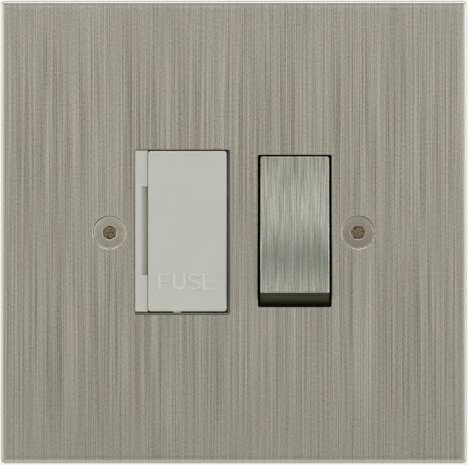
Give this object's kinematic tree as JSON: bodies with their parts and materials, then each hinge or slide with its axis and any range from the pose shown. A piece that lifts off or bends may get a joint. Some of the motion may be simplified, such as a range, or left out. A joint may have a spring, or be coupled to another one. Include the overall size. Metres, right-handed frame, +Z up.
{
  "type": "fused spur unit",
  "caption": "Square brushed steel wall plate with a white fuse drawer at the left, a steel rocker switch at the right and a countersunk screw at each side.",
  "frame": {"origin": "midway between the two fixing screws, on the wall plane at the rear of the liner", "axes": "+X to the right, +Z up, front toward -Y, the wall and its box toward +Y"},
  "size_m": [0.1128, 0.0326, 0.112],
  "materials": {
    "plate_steel": "vertically brushed",
    "rocker_steel": "vertically brushed",
    "liner": "matt",
    "stud_steel": "zinc plated",
    "screw_steel": "nickel plated",
    "white_moulding": "satin",
    "drawer_moulding": "satin",
    "dark_moulding": "satin",
    "housing_moulding": "satin",
    "ceramic": "glazed ceramic, stood in by plastic",
    "cap_plating": "nickel plated brass",
    "copper_wire": "bare",
    "contact_brass": "bare",
    "terminal_brass": "bare",
    "tip_silver": "bare silver alloy",
    "plunger_moulding": "satin",
    "spring_steel": "bare"
  },
  "bodies": {
    "base": {"front_plate": "plate_steel", "plate_liner": "liner", "plate_studs": "stud_steel", "stud_nuts": "stud_steel", "fixing_screws": "screw_steel", "fuse_frame": "white_moulding", "switch_frame": "dark_moulding", "rear_housing": "housing_moulding", "housing_screws": "screw_steel", "fuse_clip_upper": "contact_brass", "fuse_clip_lower": "contact_brass", "live_link": "contact_brass", "neutral_link": "contact_brass", "fulcrum_live": "contact_brass", "fulcrum_neutral": "contact_brass", "fixed_contact_live": "contact_brass", "fixed_contact_neutral": "contact_brass", "fixed_tips": "tip_silver", "terminal_supply_live": "terminal_brass", "terminal_supply_neutral": "terminal_brass", "terminal_earth": "terminal_brass", "terminal_load_live": "terminal_brass", "terminal_load_neutral": "terminal_brass", "terminal_screws": "screw_steel", "earth_strap": "contact_brass"},
    "rocker": {"rocker_cap": "rocker_steel", "rocker_body": "dark_moulding", "spring_live": "spring_steel", "spring_neutral": "spring_steel"},
    "fuse_drawer": {"fuse_drawer": "drawer_moulding", "fuse_barrel": "ceramic", "fuse_cap_upper": "cap_plating", "fuse_cap_lower": "cap_plating", "fuse_element": "copper_wire"},
    "plunger_live": {"plunger_live": "plunger_moulding"},
    "plunger_neutral": {"plunger_neutral": "plunger_moulding"},
    "contact_live": {"moving_contact_live": "contact_brass", "moving_tip_live": "tip_silver"},
    "contact_neutral": {"moving_contact_neutral": "contact_brass", "moving_tip_neutral": "tip_silver"}
  },
  "joints": [
    {"name": "rocker_tilt", "type": "hinge", "parent": "base", "child": "rocker", "pos_m": [0.01475, 0.007, 0.00032], "axis": [1, 0, 0], "range_deg": [0, 14]},
    {"name": "fuse_drawer_slide", "type": "slide", "parent": "base", "child": "fuse_drawer", "axis": [0, -1, 0], "range_m": [0, 0.012]},
    {"name": "plunger_live_slide", "type": "slide", "parent": "rocker", "child": "plunger_live", "axis": [0, -0.9925, 0.1219], "range_m": [0, 0.0008], "stiffness_N_per_m": 200, "deforming": ["spring_live"]},
    {"name": "plunger_neutral_slide", "type": "slide", "parent": "rocker", "child": "plunger_neutral", "axis": [0, -0.9925, 0.1219], "range_m": [0, 0.0008], "stiffness_N_per_m": 200, "deforming": ["spring_neutral"]},
    {"name": "contact_live_tilt", "type": "hinge", "parent": "base", "child": "contact_live", "pos_m": [0.01025, 0.0172, 0.00032], "axis": [1, 0, 0], "range_deg": [-16.8, 0]},
    {"name": "contact_neutral_tilt", "type": "hinge", "parent": "base", "child": "contact_neutral", "pos_m": [0.01925, 0.0172, 0.00032], "axis": [1, 0, 0], "range_deg": [-16.8, 0]}
  ],
  "couplings": [
    {"joint": "contact_live_tilt", "follows": "rocker_tilt", "ratio": -1.2},
    {"joint": "contact_neutral_tilt", "follows": "rocker_tilt", "ratio": -1.2}
  ]
}
